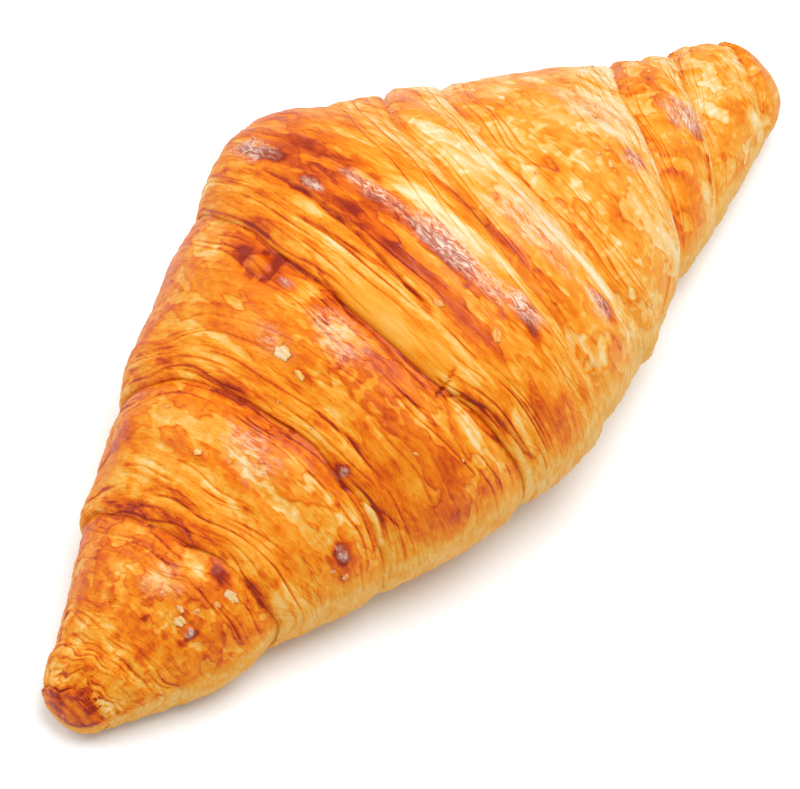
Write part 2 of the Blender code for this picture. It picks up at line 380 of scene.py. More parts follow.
def smooth_through(points, x):
    """A smooth curve through a few (place, value) points, without overshoot."""
    places, values = np.array(points, float).T
    slopes = np.diff(values) / np.diff(places)
    rising_on = slopes[:-1] * slopes[1:] > 0
    mean = 2 * slopes[:-1] * slopes[1:] / np.where(rising_on, slopes[:-1] + slopes[1:], 1.0)
    tangents = np.concatenate([slopes[:1], np.where(rising_on, mean, 0.0), slopes[-1:]])
    x = np.clip(x, places[0], places[-1])
    i = np.clip(np.searchsorted(places, x, side="right") - 1, 0, len(places) - 2)
    step = places[i + 1] - places[i]
    t = (x - places[i]) / step
    return (
        values[i] * (1 + 2 * t) * (1 - t) ** 2
        + values[i + 1] * t * t * (3 - 2 * t)
        + step * (tangents[i] * t * (1 - t) ** 2 - tangents[i + 1] * t * t * (1 - t))
    )


def smoothstep(start, stop, x):
    t = np.clip((x - start) / (stop - start), 0, 1)
    return t * t * (3 - 2 * t)


def half_width(station):
    shares = [(place, share) for place, share, _ in OUTLINE]
    return smooth_through(shares, station / LENGTH) * WIDTH / 2 - SKIN_INSET


def bend(station):
    return smooth_through([(place, bent) for place, _, bent in OUTLINE], station / LENGTH)


def lumps(station, angle):
    total = 0.0
    for height, along, around, phase in LUMPS:
        total += height * np.sin(along * station + around * angle + phase)
    return total * np.clip(half_width(station) / 20, 0, 1)


def on_body(station, angle, height):
    """Point of the roll at a station and angle, raised by a height over the tucked skin."""
    wide = half_width(station)
    tip = np.abs(2 * station / LENGTH) ** 3
    tall = HEIGHT / WIDTH * 2 * wide * (1 + (TIP_ROUNDNESS - 1) * tip)
    raised = height + lumps(station, angle)
    y = bend(station) + (wide + raised) * np.cos(angle)
    middle = CENTRE_SHARE * tall + TIP_LIFT * tip
    z = middle + ((1 - CENTRE_SHARE) * tall + raised) * np.sin(angle)
    return np.stack([station, y, rest_on_sheet(z)], axis=-1)


def rest_on_sheet(z):
    """Presses what would sink below the baking sheet flat, without layers changing places."""
    below = np.maximum(REST_RIM - z, 0)
    return np.where(z < REST_RIM, REST_RIM / (1 + below / REST_RIM), z)


def spine_point(station):
    quarters = np.arange(4) * math.pi / 2
    return on_body(np.full(4, station), quarters, np.zeros(4)).mean(axis=0)


def ring_station(number, angle):
    """Station of a ring at an angle: a slanted loop round the roll through its four stations."""
    far, crown, near, base = RINGS[number]
    sides, poles = (far + near) / 2, (crown + base) / 2
    slanted = (
        (sides + poles) / 2
        + (far - near) / 2 * np.cos(angle)
        + (crown - base) / 2 * np.sin(angle)
        + (sides - poles) / 2 * np.cos(2 * angle)
    )
    if number in (0, len(TURNS)):
        return slanted
    swayed = sum(np.sin(waves * angle + waves * number) / waves**0.5 for waves in (3, 5, 8, 13))
    return slanted + RING_SWAY * swayed


def side_kinds(number):
    low = "end" if number == 0 else "lip" if number <= MIDDLE else "tuck"
    high = "end" if number == len(TURNS) - 1 else "lip" if number >= MIDDLE else "tuck"
    return low, high


def side_knots(kind, ring, into, width, crest, lip_share):
    """(station, height) knots of one side, from inside the roll out to where the back starts."""
    if kind == "lip":
        lip = into * lip_share * width
        return [(ring + away * lip, share * crest) for away, share in LIP_SECTION]
    if kind == "tuck":
        return [(ring - into * past, share * crest) for past, share in TUCK_SECTION]
    radius = half_width(ring)
    return [(ring + into * away * width, (share - 1) * radius) for away, share in END_SECTION]


def section_knots(number, angle):
    """All (station, height) knots across a turn at the angles given, from -X to +X."""
    _, crest, lip_share, _, _ = TURNS[number]
    crest = crest * (1 - NEAR_FALL * smoothstep(145, 185, on_crown_side(angle)))
    low_kind, high_kind = side_kinds(number)
    low, high = ring_station(number, angle), ring_station(number + 1, angle)
    low_side = side_knots(low_kind, low, 1, high - low, crest, lip_share)
    high_side = side_knots(high_kind, high, -1, high - low, crest, lip_share)
    start, stop = low_side[-1][0], high_side[-1][0]
    back = []
    for step in range(1, BACK_KNOTS + 1):
        share = step / (BACK_KNOTS + 1)
        from_tuck = {low_kind: share, high_kind: 1 - share}.get("tuck", 1.0)
        fall = math.cos(math.pi / 2 * (1 - from_tuck) ** BACK_FALL)
        swell = 1 + BACK_SWELL * math.sin(math.pi * share)
        back.append((start + share * (stop - start), crest * fall * swell))
    knots = low_side + back + high_side[::-1]
    stations = np.stack([np.broadcast_to(station, angle.shape) for station, _ in knots])
    heights = np.stack([np.broadcast_to(height, angle.shape) for _, height in knots])
    return stations, heights


def row_places(number):
    """Places of the rows among the section's knots, about one ROW_STEP apart on the crown."""
    stations, heights = section_knots(number, np.radians([60.0, 90.0, 150.0]))
    gaps = np.hypot(np.diff(stations, axis=0), np.diff(heights, axis=0)).max(axis=1)
    hidden = (heights[:-1].max(axis=1) < -0.2) | (heights[1:].max(axis=1) < -0.2)
    counts = np.where(hidden, 2, np.ceil(gaps / ROW_STEP).astype(int))
    places = [i + np.arange(count) / count for i, count in enumerate(counts)]
    return np.append(np.concatenate(places), len(gaps))


def smooth_rows(knots, places):
    """Rows between knots: a Catmull-Rom curve through the knots of every column at once."""
    last = len(knots) - 1
    i = np.minimum(places.astype(int), last - 1)
    t = (places - i)[:, None]
    before, after = knots[np.maximum(i - 1, 0)], knots[np.minimum(i + 2, last)]
    here, there = knots[i], knots[i + 1]
    return 0.5 * (
        2 * here
        + (there - before) * t
        + (2 * before - 5 * here + 4 * there - after) * t**2
        + (3 * here - before - 3 * there + after) * t**3
    )


def noise(around, along, seed, cells_round=128):
    """Smooth gradient noise from about -1 to 1. It closes up after cells_round cells."""
    size = 128
    turned = np.random.default_rng(SEED + seed).uniform(0, 2 * math.pi, (size, size))
    lean_round, lean_along = np.cos(turned), np.sin(turned)
    i, j = np.floor(around).astype(int), np.floor(along).astype(int)
    u, v = around - i, along - j
    total = 0.0
    for di in (0, 1):
        for dj in (0, 1):
            corner = ((i + di) % cells_round % size, (j + dj) % size)
            slope = lean_round[corner] * (u - di) + lean_along[corner] * (v - dj)
            near = (fade(u) if di else 1 - fade(u)) * (fade(v) if dj else 1 - fade(v))
            total = total + slope * near
    return 1.7 * total


def fade(t):
    return t * t * t * (t * (6 * t - 15) + 10)


def grained(angle, across, length, width, seed):
    """Noise that runs round the roll: length of its streaks round it and width across them."""
    cells = int(min(126, max(3, 180.0 / length)))
    return noise(angle / (2 * math.pi) * cells + 0.37 * seed, across / width, seed, cells)


def ragged(angle, across, length, width, seed):
    """Three octaves of grained noise."""
    total = grained(angle, across, length, width, seed)
    total += 0.55 * grained(angle, across, length / 2.1, width / 2.1, seed + 1)
    total += 0.30 * grained(angle, across, length / 4.3, width / 4.3, seed + 2)
    return total / 1.85


def mark_mask(station, angle, mark, rough):
    """How much of a mark lies at each point, with a ragged edge."""
    at, degrees, long, wide = mark[:4]
    away = (np.degrees(angle) - degrees + 180) % 360 - 180
    distance = np.sqrt(((station - at) / long) ** 2 + (away / wide) ** 2) + 0.55 * rough
    return 1 - smoothstep(0.30, 1.30, distance)


def on_crown_side(angle):
    """Angle in degrees, cut open under the base."""
    return (np.degrees(angle) + 90) % 360 - 90


def crease_field(station, angle, path):
    """Distance in mm from a path, less than zero on its -X side, and how much of it runs there."""
    girth_step = half_width(station) * math.pi / 180
    degrees = on_crown_side(angle)
    nearest = np.full(station.shape, FAR_OFF)
    side, along = np.ones(station.shape), np.zeros(station.shape)
    for number, (start, stop) in enumerate(zip(path, path[1:])):
        run, rise = stop[0] - start[0], (stop[1] - start[1]) * girth_step
        east, north = station - start[0], (degrees - start[1]) * girth_step
        share = np.clip((east * run + north * rise) / (run * run + rise * rise), 0, 1)
        distance = np.hypot(east - share * run, north - share * rise)
        nearer = distance < nearest
        turned = np.sign((east * rise - north * run) * (1 if stop[1] > start[1] else -1))
        nearest = np.where(nearer, distance, nearest)
        side = np.where(nearer, turned, side)
        along = np.where(nearer, (number + share) / (len(path) - 1), along)
    present = smoothstep(0, 0.15, along) * (1 - smoothstep(0.85, 1, along))
    return nearest * side, present


def cracked(station, angle, wander):
    """Relief of every crease near these points, and the painted shade along it as tone."""
    relief, tone = np.zeros(station.shape), np.zeros(station.shape)
    for path, width, depth, rise, dark in CREASES:
        places = [place for place, _ in path]
        close = (station > min(places) - 5) & (station < max(places) + 5)
        if not close.any():
            continue
        away, present = crease_field(station[close], angle[close], path)
        away = away + 0.35 * wander[close]
        fall = np.exp(-((away / width) ** 2))
        step = np.tanh(away / width) * np.exp(-np.abs(away) / 2.2)
        relief[close] += present * (rise / 2 * step - depth * fall)
        # Painted shade: darker along the crease, most in its groove.
        tone[close] += present * dark * (0.35 + 0.65 * fall) * np.exp(-np.abs(away) / (1.6 * width))
    return relief, tone


def swollen(station, angle):
    """Height that the swells add at each point."""
    total = np.zeros(station.shape)
    for place, degrees, long, wide, height in SWELLS:
        away = (on_crown_side(angle) - degrees) / wide
        total += height * np.exp(-(((station - place) / long) ** 2) - away**2)
    return total


def blistered(station, angle, rough):
    """Relief and tone of the blisters: domes, each in a dark moat."""
    relief, tone = np.zeros(station.shape), np.zeros(station.shape)
    for place, degrees, radius, height, dark in BLISTERS:
        north = (on_crown_side(angle) - degrees) * half_width(station) * math.pi / 180
        away = np.hypot(station - place, 0.7 * north) / radius + 0.22 * rough
        moat = np.exp(-(((away - 1.35) / 0.36) ** 2))
        dome = 1 - smoothstep(0.3, 1.1, away)
        relief += height * (dome - 0.35 * moat)
        shaded = smoothstep(-0.5, 0.3, np.sin(2.0 * north + place) + rough)
        tone += dark * moat * shaded - 0.14 * dome * (dark > 0)
    return relief, tone


def peeled(angle, station, length, width, seed):
    """Patches where the topmost skin has come away: (patches, their rims) from 0 to 1."""
    field = ragged(angle, station, length, width, seed)
    return smoothstep(0.10, 0.20, field), np.exp(-(((field - 0.10) / 0.035) ** 2))


def layer_edges(angle, across, lip_width, reach, seed, first=0.5):
    """Layers that crop out towards a ring, each edge a step outwards: relief and tone."""
    draw = np.random.default_rng(SEED + seed)
    sway = 1.3 * grained(angle, across, 34, 8, seed + 1) + 0.5 * grained(angle, across, 11, 4, seed + 2)
    relief, tone = np.zeros(across.shape), np.zeros(across.shape)
    line = angle[:1]
    place = first + draw.uniform(0.0, 0.4)
    while place < reach:
        on_lip = 1 - smoothstep(0.8 * lip_width, 1.6 * lip_width, place)
        number = 9.0 * place
        own = 0.5 * grained(line, number, 15, 1.0, seed + 3)
        stretches = grained(line, number + 500, 13, 1.0, seed + 4)
        shown = smoothstep(-0.35 + 0.3 * (1 - on_lip), 0.45, stretches)
        shown = shown * (0.35 + 0.65 * on_lip) * draw.uniform(0.35, 1.1)
        past = place + sway + own - across
        step = smoothstep(0.0, 0.16, past) * np.exp(-np.maximum(past, 0) / draw.uniform(0.6, 1.4))
        relief -= 0.26 * shown * step
        # A dark line at the foot of each step, partly the layer's own edge and partly painted shade, and a
        # paler layer just past it.
        tone += shown * (0.30 * np.exp(-(((past - 0.05) / 0.15) ** 2)) - 0.15 * step)
        place += (0.35 + 1.5 * draw.random() ** 2) * (1 + 1.8 * (1 - on_lip))
    return relief, tone


def nearest_side(kind, sides):
    """Distance from the nearer side of a kind, and far off where a turn has no such side."""
    distances = [away for side_kind, away in sides if side_kind == kind]
    return np.minimum.reduce([np.full_like(sides[0][1], FAR_OFF)] + distances)


def dress_turn(number, angle, station, height):
    """Relief of a turn in mm, and its finish: tone, gloss, rough glaze with its painted glints, and how
    much grain shows.
    """
    _, crest, lip_share, back_tone, lip_tone = TURNS[number]
    seed = 100 * number
    low_kind, high_kind = side_kinds(number)
    low, high = ring_station(number, angle), ring_station(number + 1, angle)
    width = high - low
    lip_width = lip_share * width
    from_low, from_high = station - low, high - station
    sides = (low_kind, from_low), (high_kind, from_high)
    edge, tuck = nearest_side("lip", sides), nearest_side("tuck", sides)

    degrees = on_crown_side(angle)
    side = np.maximum(smoothstep(160, 178, degrees), 1 - smoothstep(-10, 25, degrees))
    on_lip = 1 - smoothstep(0.7, 1.5, edge / lip_width + 0.30 * grained(angle, edge, 14, 4, seed + 5))
    sheltered = smoothstep(-0.9, -0.1, height / crest)

    streak = ragged(angle, station, 7, 1.1, seed + 30)
    fibres = ragged(angle, station, 3.6, 0.42, seed + 35)
    mottle = ragged(angle, station, 4.6, 2.6, seed + 40)
    bubbles = grained(angle, station, 1.7, 0.9, seed + 43)
    broad = ragged(angle, station, 24, 9, seed + 50)
    rough = ragged(angle, station, 5, 2.4, seed + 60)
    soft = 1.0 if number > MIDDLE else 0.0
    patch, patch_rim = peeled(angle, station, 12, 3.8 + 1.6 * soft, seed + 70)
    scale, scale_rim = peeled(angle, station, 5, 1.3 + 0.7 * soft, seed + 80)
    scale, scale_rim = scale * (0.7 - 0.3 * soft), scale_rim * (0.6 - 0.3 * soft)

    layer_relief, layer_tone = np.zeros_like(station), np.zeros_like(station)
    usual = float(np.median(width))
    for (kind, away), salt in zip(sides, (10, 20)):
        if kind == "lip":
            reach = usual * (0.75 if low_kind == high_kind else 0.9)
            made = layer_edges(angle, away + 0.6 * height, lip_share * usual, reach, seed + salt)
            layer_relief += made[0]
            layer_tone += made[1]
        if kind == "tuck":
            made = layer_edges(angle, -away, 1.0, -0.4, seed + salt, first=-0.28 * usual)
            layer_relief += 0.7 * made[0]
            layer_tone += 0.9 * made[1]
    crease_relief, crease_shade = cracked(station, angle, fibres)
    blister_relief, blister_tone = blistered(station, angle, rough)

    flecked = 0.35 * np.ones_like(station)
    for place in FLECKED:
        flecked = np.maximum(flecked, mark_mask(station, angle, place, rough))
    flecks = flecked * smoothstep(0.10, 0.45, bubbles + 0.5 * mottle)
    flecks = flecks * (1 - 0.7 * on_lip) * (1 - 0.6 * soft)
    blotch = ragged(angle, station, 7, 4.4, seed + 46)
    dots = soft * smoothstep(0.34, 0.62, grained(angle, station, 1.3, 1.7, seed + 44) + 0.4 * blotch)
    stains = on_lip * smoothstep(0.05, 0.55, ragged(angle, station, 8, 1.7, seed + 48))
    combed = 0.5 + 0.5 * on_lip - 0.15 * soft
    spiral = np.zeros_like(station)
    calm = 1 - 0.8 * mark_mask(station, angle, BLISTER_SKIN, 0.3 * rough)
    if "end" in (low_kind, high_kind):
        from_end = from_low if low_kind == "end" else from_high
        calm = calm * (0.35 + 0.65 * smoothstep(0.5, 4.0, from_end))
        combed = np.full_like(station, 1.4 if number == 0 else 0.7)
        from_pole = np.sqrt(12 * np.maximum(from_end, 0))
        wander = 1.5 * grained(angle, from_pole, 9, 3, seed + 99)
        spiral = np.sin(3.7 * from_pole + angle + wander) * (1 - smoothstep(1.5, 3.0, from_end))
        clear = smoothstep(0.1, 2.0, from_end)
        streak, fibres, mottle, blotch = clear * streak, clear * fibres, clear * mottle, clear * blotch
        broad, rough, patch, patch_rim = clear * broad, clear * rough, clear * patch, clear * patch_rim

    plain = 1 - 0.85 * mark_mask(station, angle, PALE_STRIP, 0.5 * rough)
    plain = plain * (1 - 0.35 * side) * (0.5 + 0.5 * calm)
    worn = (1 - 0.6 * on_lip) * calm
    crest_dip = 0.25 * smoothstep(-0.3, 0.5, noise(angle * 1.6, 0 * angle + number, seed + 90))
    crest_dip = crest_dip + 0.40 * np.exp(-(((degrees - 120) / 45) ** 2)) * (number < MIDDLE)
    ridges = grained(angle, station, 32, 2.6, seed + 95)
    ridges = (0.10 + 0.22 * on_lip) * ridges
    relief = plain * (1.2 * layer_relief + 0.08 * streak + 0.05 * fibres + ridges)
    relief += plain * worn * (0.10 * mottle + 0.10 * flecks - 0.12 * patch - 0.07 * scale)
    relief += plain * worn * (0.05 * patch_rim + 0.03 * scale_rim + 0.06 * dots)
    near_lip = 1 - smoothstep(0.8, 2.0, edge / lip_width)
    relief += 0.28 * broad - crest_dip * np.maximum(height, 0) * near_lip
    relief += side * (0.16 * ragged(angle, station, 4, 1.6, seed + 61) + 0.08 * fibres)
    relief += crease_relief + blister_relief + 0.14 * spiral
    relief = relief * sheltered + swollen(station, angle)

    tone = back_tone + (lip_tone - back_tone) * on_lip
    bands = grained(angle, station, 28, 1.5, seed + 97)
    combing = combed * (0.13 * streak + 0.05 * fibres)
    tone += plain * (1.3 * layer_tone + combing + 0.12 * on_lip * bands)
    tone += plain * worn * (0.13 * mottle - 0.20 * flecks - 0.16 * patch - 0.10 * scale - 0.13 * dots)
    tone += plain * (0.15 * calm * blotch + 0.20 * stains)
    tone += plain * worn * (0.12 * patch_rim + 0.09 * scale_rim)
    tone += 0.16 * broad + (0.15 if number == 0 else 0.05) * spiral
    # Painted shade: darker in the tuck under the next turn's lip and along the fold at a lip's edge.
    tone += 0.08 * (1 - smoothstep(0.0, 1.4, tuck)) + 0.08 * (1 - smoothstep(-0.2, 0.35, edge))
    for mark in MARKS:
        tone += mark[4] * mark_mask(station, angle, mark, rough)
    tone += crease_shade + blister_tone
    tone = tone + side * (0.75 * (SIDE_TONE - tone) + 0.10 * rough + 0.10 * fibres)

    # Rough glaze thickens the coat and crumples the bumps. In the colour it lays painted highlights,
    # painted shade and a partly painted pink sheen.
    rough_glaze_and_glint = np.zeros_like(tone)
    for place in GLINTING_GLAZE:
        rough_glaze_and_glint = np.maximum(rough_glaze_and_glint, place[4] * mark_mask(station, angle, place, rough))
    gloss = (1 - 0.6 * on_lip) * (1 - 0.7 * side) * (0.65 + 0.35 * broad)
    gloss = gloss + 0.9 * smoothstep(0.62, 0.85, tone)
    return relief, np.clip(np.stack([tone, gloss, rough_glaze_and_glint, plain * combed], -1), 0, 1)


def rolled_sheet(columns, rows):
    """A flat grid whose two sides are welded into a tube and whose two ends are drawn together."""
    shape = bmesh.new()
    bmesh.ops.create_grid(shape, x_segments=columns, y_segments=rows + 1, size=1.0)
    shape.verts.ensure_lookup_table()
    starts = [row * (columns + 1) for row in range(rows + 2)]
    seam = {shape.verts[start + columns]: shape.verts[start] for start in starts}
    bmesh.ops.weld_verts(shape, targetmap=seam)
    for side in (-1, 1):
        end = [vertex for vertex in shape.verts if abs(vertex.co.y - side) < 0.5 / rows]
        bmesh.ops.pointmerge(shape, verts=end, merge_co=(0, side, 0))
    return shape


def flake_frame(skin, heights, angles, place, degrees):
    """Point of a turn's skin under a flake, and its directions round, along and outward."""
    column = int(np.argmin(np.abs(on_crown_side(angles) - degrees)))
    line = skin[:, column, 0]
    row = int(np.argmax(np.where(np.abs(line - place) < 0.5, heights[:, column], -99)))
    row = min(max(row, 3), len(skin) - 4)
    around = skin[row, (column + 3) % len(angles)] - skin[row, column - 3]
    along = skin[row + 3, column] - skin[row - 3, column]
    around, along = around / np.linalg.norm(around), along / np.linalg.norm(along)
    outward = np.cross(around, along)
    return skin[row, column], around, along, outward / np.linalg.norm(outward)


def all_flakes():
    """The flakes that show, and small ones strewn over the crust: as in FLAKES."""
    draw = np.random.default_rng(SEED + 7)
    strewn = []
    for _ in range(STREWN_FLAKES):
        place, degrees = draw.uniform(-74, 74), draw.uniform(35, 165)
        length = draw.uniform(0.5, 1.3)
        bare_place, bare_degrees, bare_long, bare_wide = BARE_PLACE
        if abs(place - bare_place) < bare_long and abs(degrees - bare_degrees) < bare_wide:
            continue
        width, turned = length * draw.uniform(0.5, 0.9), draw.uniform(-40, 40)
        strewn.append((place, degrees, length, width, turned, 0.12, 0.26))
    return list(FLAKES) + strewn


def flakes_mesh(flakes):
    """Flakes of the outermost skin: thin curled plates with ragged rims."""
    draw = np.random.default_rng(SEED + 8)
    shape = bmesh.new()
    finish, grain_places = [], []
    for (origin, around, along, outward), (length, width, turned, lift, pale) in flakes:
        made = bmesh.ops.create_icosphere(shape, subdivisions=3, radius=1.0)["verts"]
        ball = np.array([vertex.co for vertex in made])
        bearing = np.arctan2(ball[:, 1], ball[:, 0])
        first, second, third = draw.uniform(0, 2 * math.pi, 3)
        rim = 1 + 0.14 * np.sin(2 * bearing + first) + 0.12 * np.sin(5 * bearing + second)
        rim += 0.07 * np.sin(9 * bearing + third)
        x, y = ball[:, 0] * rim * length / 2, ball[:, 1] * rim * width / 2
        bowed = 0.5 * lift * (2 * x / length) ** 2 + 0.3 * lift * (2 * y / width)
        bowed += 0.04 * np.sin(7 * y + first)
        z = FLAKE_THICKNESS / 2 * ball[:, 2] + bowed + FLAKE_CLEARANCE
        turn = math.radians(turned)
        east = x * math.cos(turn) - y * math.sin(turn)
        north = x * math.sin(turn) + y * math.cos(turn)
        placed = origin + np.outer(east, around) + np.outer(north, along) + np.outer(z, outward)
        for vertex, point in zip(made, placed * MM):
            vertex.co = point
        edge = smoothstep(0.7, 1.0, np.hypot(ball[:, 0], ball[:, 1]))
        tone = pale + 0.11 + 0.10 * edge + 0.08 * np.sin(7 * y + 3 * x + second)
        tone += draw.uniform(-0.04, 0.08)
        # The second share is rough glaze, which paints glints and shade on the flake.
        shares = (0.3, draw.uniform(0.2, 0.6), 0.9)
        finish.append(np.stack([tone] + [share + 0 * x for share in shares], -1))
        grain_places.append(np.stack([x, y], -1) + draw.uniform(0, 60, 2))
    mesh = bpy.data.meshes.new("crust_flakes")
    bmesh.ops.recalc_face_normals(shape, faces=shape.faces)
    shape.to_mesh(mesh)
    shape.free()
    baked = mesh.attributes.new("baked", "FLOAT_COLOR", "POINT")
    baked.data.foreach_set("color", np.clip(np.concatenate(finish), 0, 1).ravel())
    corner = np.empty(len(mesh.loops), dtype=int)
    mesh.loops.foreach_get("vertex_index", corner)
    grain = mesh.uv_layers.new(name="grain")
    grain.data.foreach_set("uv", np.concatenate(grain_places)[corner].ravel())
    mesh.shade_smooth()
    return mesh


def turn_mesh(number, flakes):
    """One turn as a closed skin: a rolled sheet whose rows lie across the turn. It also returns
    the frames of the flakes that lie on it."""
    name = TURNS[number][0]
    places = row_places(number)
    row_count = len(places)
    widest = max(abs(half_width(ring_station(n, np.zeros(1)))[0]) for n in (number, number + 1))
    girth = 2 * math.pi * (widest + 2) * ROUNDNESS
    segments = max(96, min(int(girth / COLUMN_STEP), MOST_QUADS // row_count))
    shape = rolled_sheet(segments, row_count)
    mesh = bpy.data.meshes.new(name)
    shape.to_mesh(mesh)
    shape.free()

    flat = np.empty(len(mesh.vertices) * 3)
    mesh.vertices.foreach_get("co", flat)
    flat = flat.reshape(-1, 3)
    column = np.rint((flat[:, 0] + 1) / 2 * segments).astype(int) % segments
    row = np.rint((flat[:, 1] + 1) / 2 * (row_count + 1)).astype(int)
    rounds = np.arange(segments) / segments * 2 * math.pi
    angles = rounds + CROWN_SHARE * np.sin(rounds) - math.pi / 2
    stations, heights = section_knots(number, angles)
    stations, heights = smooth_rows(stations, places), smooth_rows(heights, places)
    grid_angles = np.broadcast_to(angles, stations.shape)
    relief, made = dress_turn(number, grid_angles, stations, heights)
    skin = on_body(stations, grid_angles, heights + relief)
    framed = []
    for place, degrees, *form in flakes:
        low, high = (ring_station(n, np.radians([degrees]))[0] for n in (number, number + 1))
        if low < place < high:
            frame_here = flake_frame(skin, heights, angles, place, degrees)
            framed.append((frame_here, form))
    lengths = np.linalg.norm(np.diff(skin, axis=0), axis=-1)
    across = np.concatenate([np.zeros((1, segments)), np.cumsum(lengths, axis=0)])

    inside = (row > 0) & (row <= row_count)
    placed = np.zeros_like(flat)
    placed[inside] = skin[row[inside] - 1, column[inside]]
    for pole_row, next_row in ((0, 0), (row_count + 1, row_count - 1)):
        placed[row == pole_row] = spine_point(stations[next_row].mean())
    mesh.vertices.foreach_set("co", (placed * MM).ravel())

    finish = np.full((len(placed), 4), 0.5)
    finish[inside] = made[row[inside] - 1, column[inside]]
    baked = mesh.attributes.new("baked", "FLOAT_COLOR", "POINT")
    baked.data.foreach_set("color", finish.ravel())
    add_maps(mesh, segments, column, row, row_count, across, girth)
    mesh.shade_smooth()
    return mesh, framed


def add_maps(mesh, segments, column, row, row_count, across, girth):
    """Two UV maps: the grain in millimetres, and two half rounds stacked for baked pictures."""
    corner = np.empty(len(mesh.loops), dtype=int)
    mesh.loops.foreach_get("vertex_index", corner)
    face_start = np.empty(len(mesh.polygons), dtype=int)
    mesh.polygons.foreach_get("loop_start", face_start)
    face_size = np.empty(len(mesh.polygons), dtype=int)
    mesh.polygons.foreach_get("loop_total", face_size)
    face_of = np.repeat(np.arange(len(face_start)), face_size)
    columns, rows = column[corner].astype(float), row[corner]
    at_pole = (rows == 0) | (rows == row_count + 1)
    columns[at_pole] = np.nan
    highest = np.zeros(len(face_start))
    np.fmax.at(highest, face_of, columns)
    wraps = (highest[face_of] == segments - 1) & (columns == 0)
    columns[wraps] = segments
    least = np.full(len(face_start), np.inf)
    np.fmin.at(least, face_of, columns)
    columns[at_pole] = (least + 0.5)[face_of][at_pole]

    grid_row = np.clip(rows - 1, 0, row_count - 1)
    measured = across[grid_row, (columns.astype(int)) % segments]
    measured = np.where(rows == row_count + 1, measured + 2.0, np.where(rows == 0, -2.0, measured))
    grain = mesh.uv_layers.new(name="grain")
    rounds = columns / segments * 2 * math.pi
    round_mm = (rounds + CROWN_SHARE * np.sin(rounds)) / (2 * math.pi) * girth
    grain.data.foreach_set("uv", np.stack([round_mm, measured], -1).ravel())

    half = (least[face_of] >= segments // 2).astype(float)
    share_round = np.clip(columns / segments * 2 - half, 0, 1)
    top = measured.max() + 2.0
    share_across = (measured + 2.0) / (top + 2.0)
    stacked = mesh.uv_layers.new(name="OFBake")
    v = (half + 0.01 + 0.98 * share_across) / 2
    stacked.data.foreach_set("uv", np.stack([0.004 + 0.992 * share_round, v], -1).ravel())


def add_node(tree, kind, **settings):
    node = tree.nodes.new(kind)
    for key, value in settings.items():
        setattr(node, key, value)
    return node


def math_node(tree, operation, first, second):
    node = add_node(tree, "ShaderNodeMath", operation=operation)
    for socket, value in zip(node.inputs, (first, second)):
        if isinstance(value, (int, float)):
            socket.default_value = value
        else:
            tree.links.new(value, socket)
    return node.outputs[0]


# Colour of the crust from pale dough to burnt glaze, as shares of tone and sRGB colours.
BAKED_COLOURS = (
    (0.00, (255, 240, 198)),
    (0.10, (255, 225, 170)),
    (0.22, (255, 203, 116)),
    (0.36, (254, 174, 54)),
    (0.51, (250, 142, 18)),
    (0.65, (236, 108, 6)),
    (0.79, (206, 74, 4)),
    (0.93, (156, 42, 8)),
)
# Rough glaze colours: a pinkish tint over the whole patch that shows in its hollows, partly the glaze's own
# colour and partly painted sheen; and a painted highlight on its ridges.
BLUSH_COLOUR = (220, 118, 72)  # of rough glaze in its hollows
GLINT_COLOUR = (255, 232, 208)  # and on its ridges
LIGHT_SHARE = 0.72  # albedo against the colours above


def linear(colour):
    return [
        ((c / 255 + 0.055) / 1.055) ** 2.4 * LIGHT_SHARE if c > 10 else c / 255 / 12.92
        for c in colour
    ]


def grain_noise(tree, grain, size, detail, roughness=0.6):
    """Noise on the grain map, with cells of a size in millimetres round and across."""
    scaled = add_node(tree, "ShaderNodeMapping")
    scaled.inputs["Scale"].default_value = (1 / size[0], 1 / size[1], 1)
    tree.links.new(grain, scaled.inputs["Vector"])
    pattern = add_node(tree, "ShaderNodeTexNoise", noise_dimensions="2D")
    pattern.inputs["Scale"].default_value = 1.0
    pattern.inputs["Detail"].default_value = detail
    pattern.inputs["Roughness"].default_value = roughness
    tree.links.new(scaled.outputs[0], pattern.inputs["Vector"])
    return pattern.outputs["Fac"]


def layer_lines(tree, pattern):
    """Thin lines where a pattern passes its middle, so that they run, join and end like layers."""
    away = math_node(tree, "ABSOLUTE", math_node(tree, "SUBTRACT", pattern, 0.5), 0.0)
    line = add_node(tree, "ShaderNodeMapRange")
    line.inputs["From Max"].default_value = 0.022
    line.inputs["To Min"].default_value = 1.0
    line.inputs["To Max"].default_value = 0.0
    tree.links.new(away, line.inputs["Value"])
    return line.outputs["Result"]


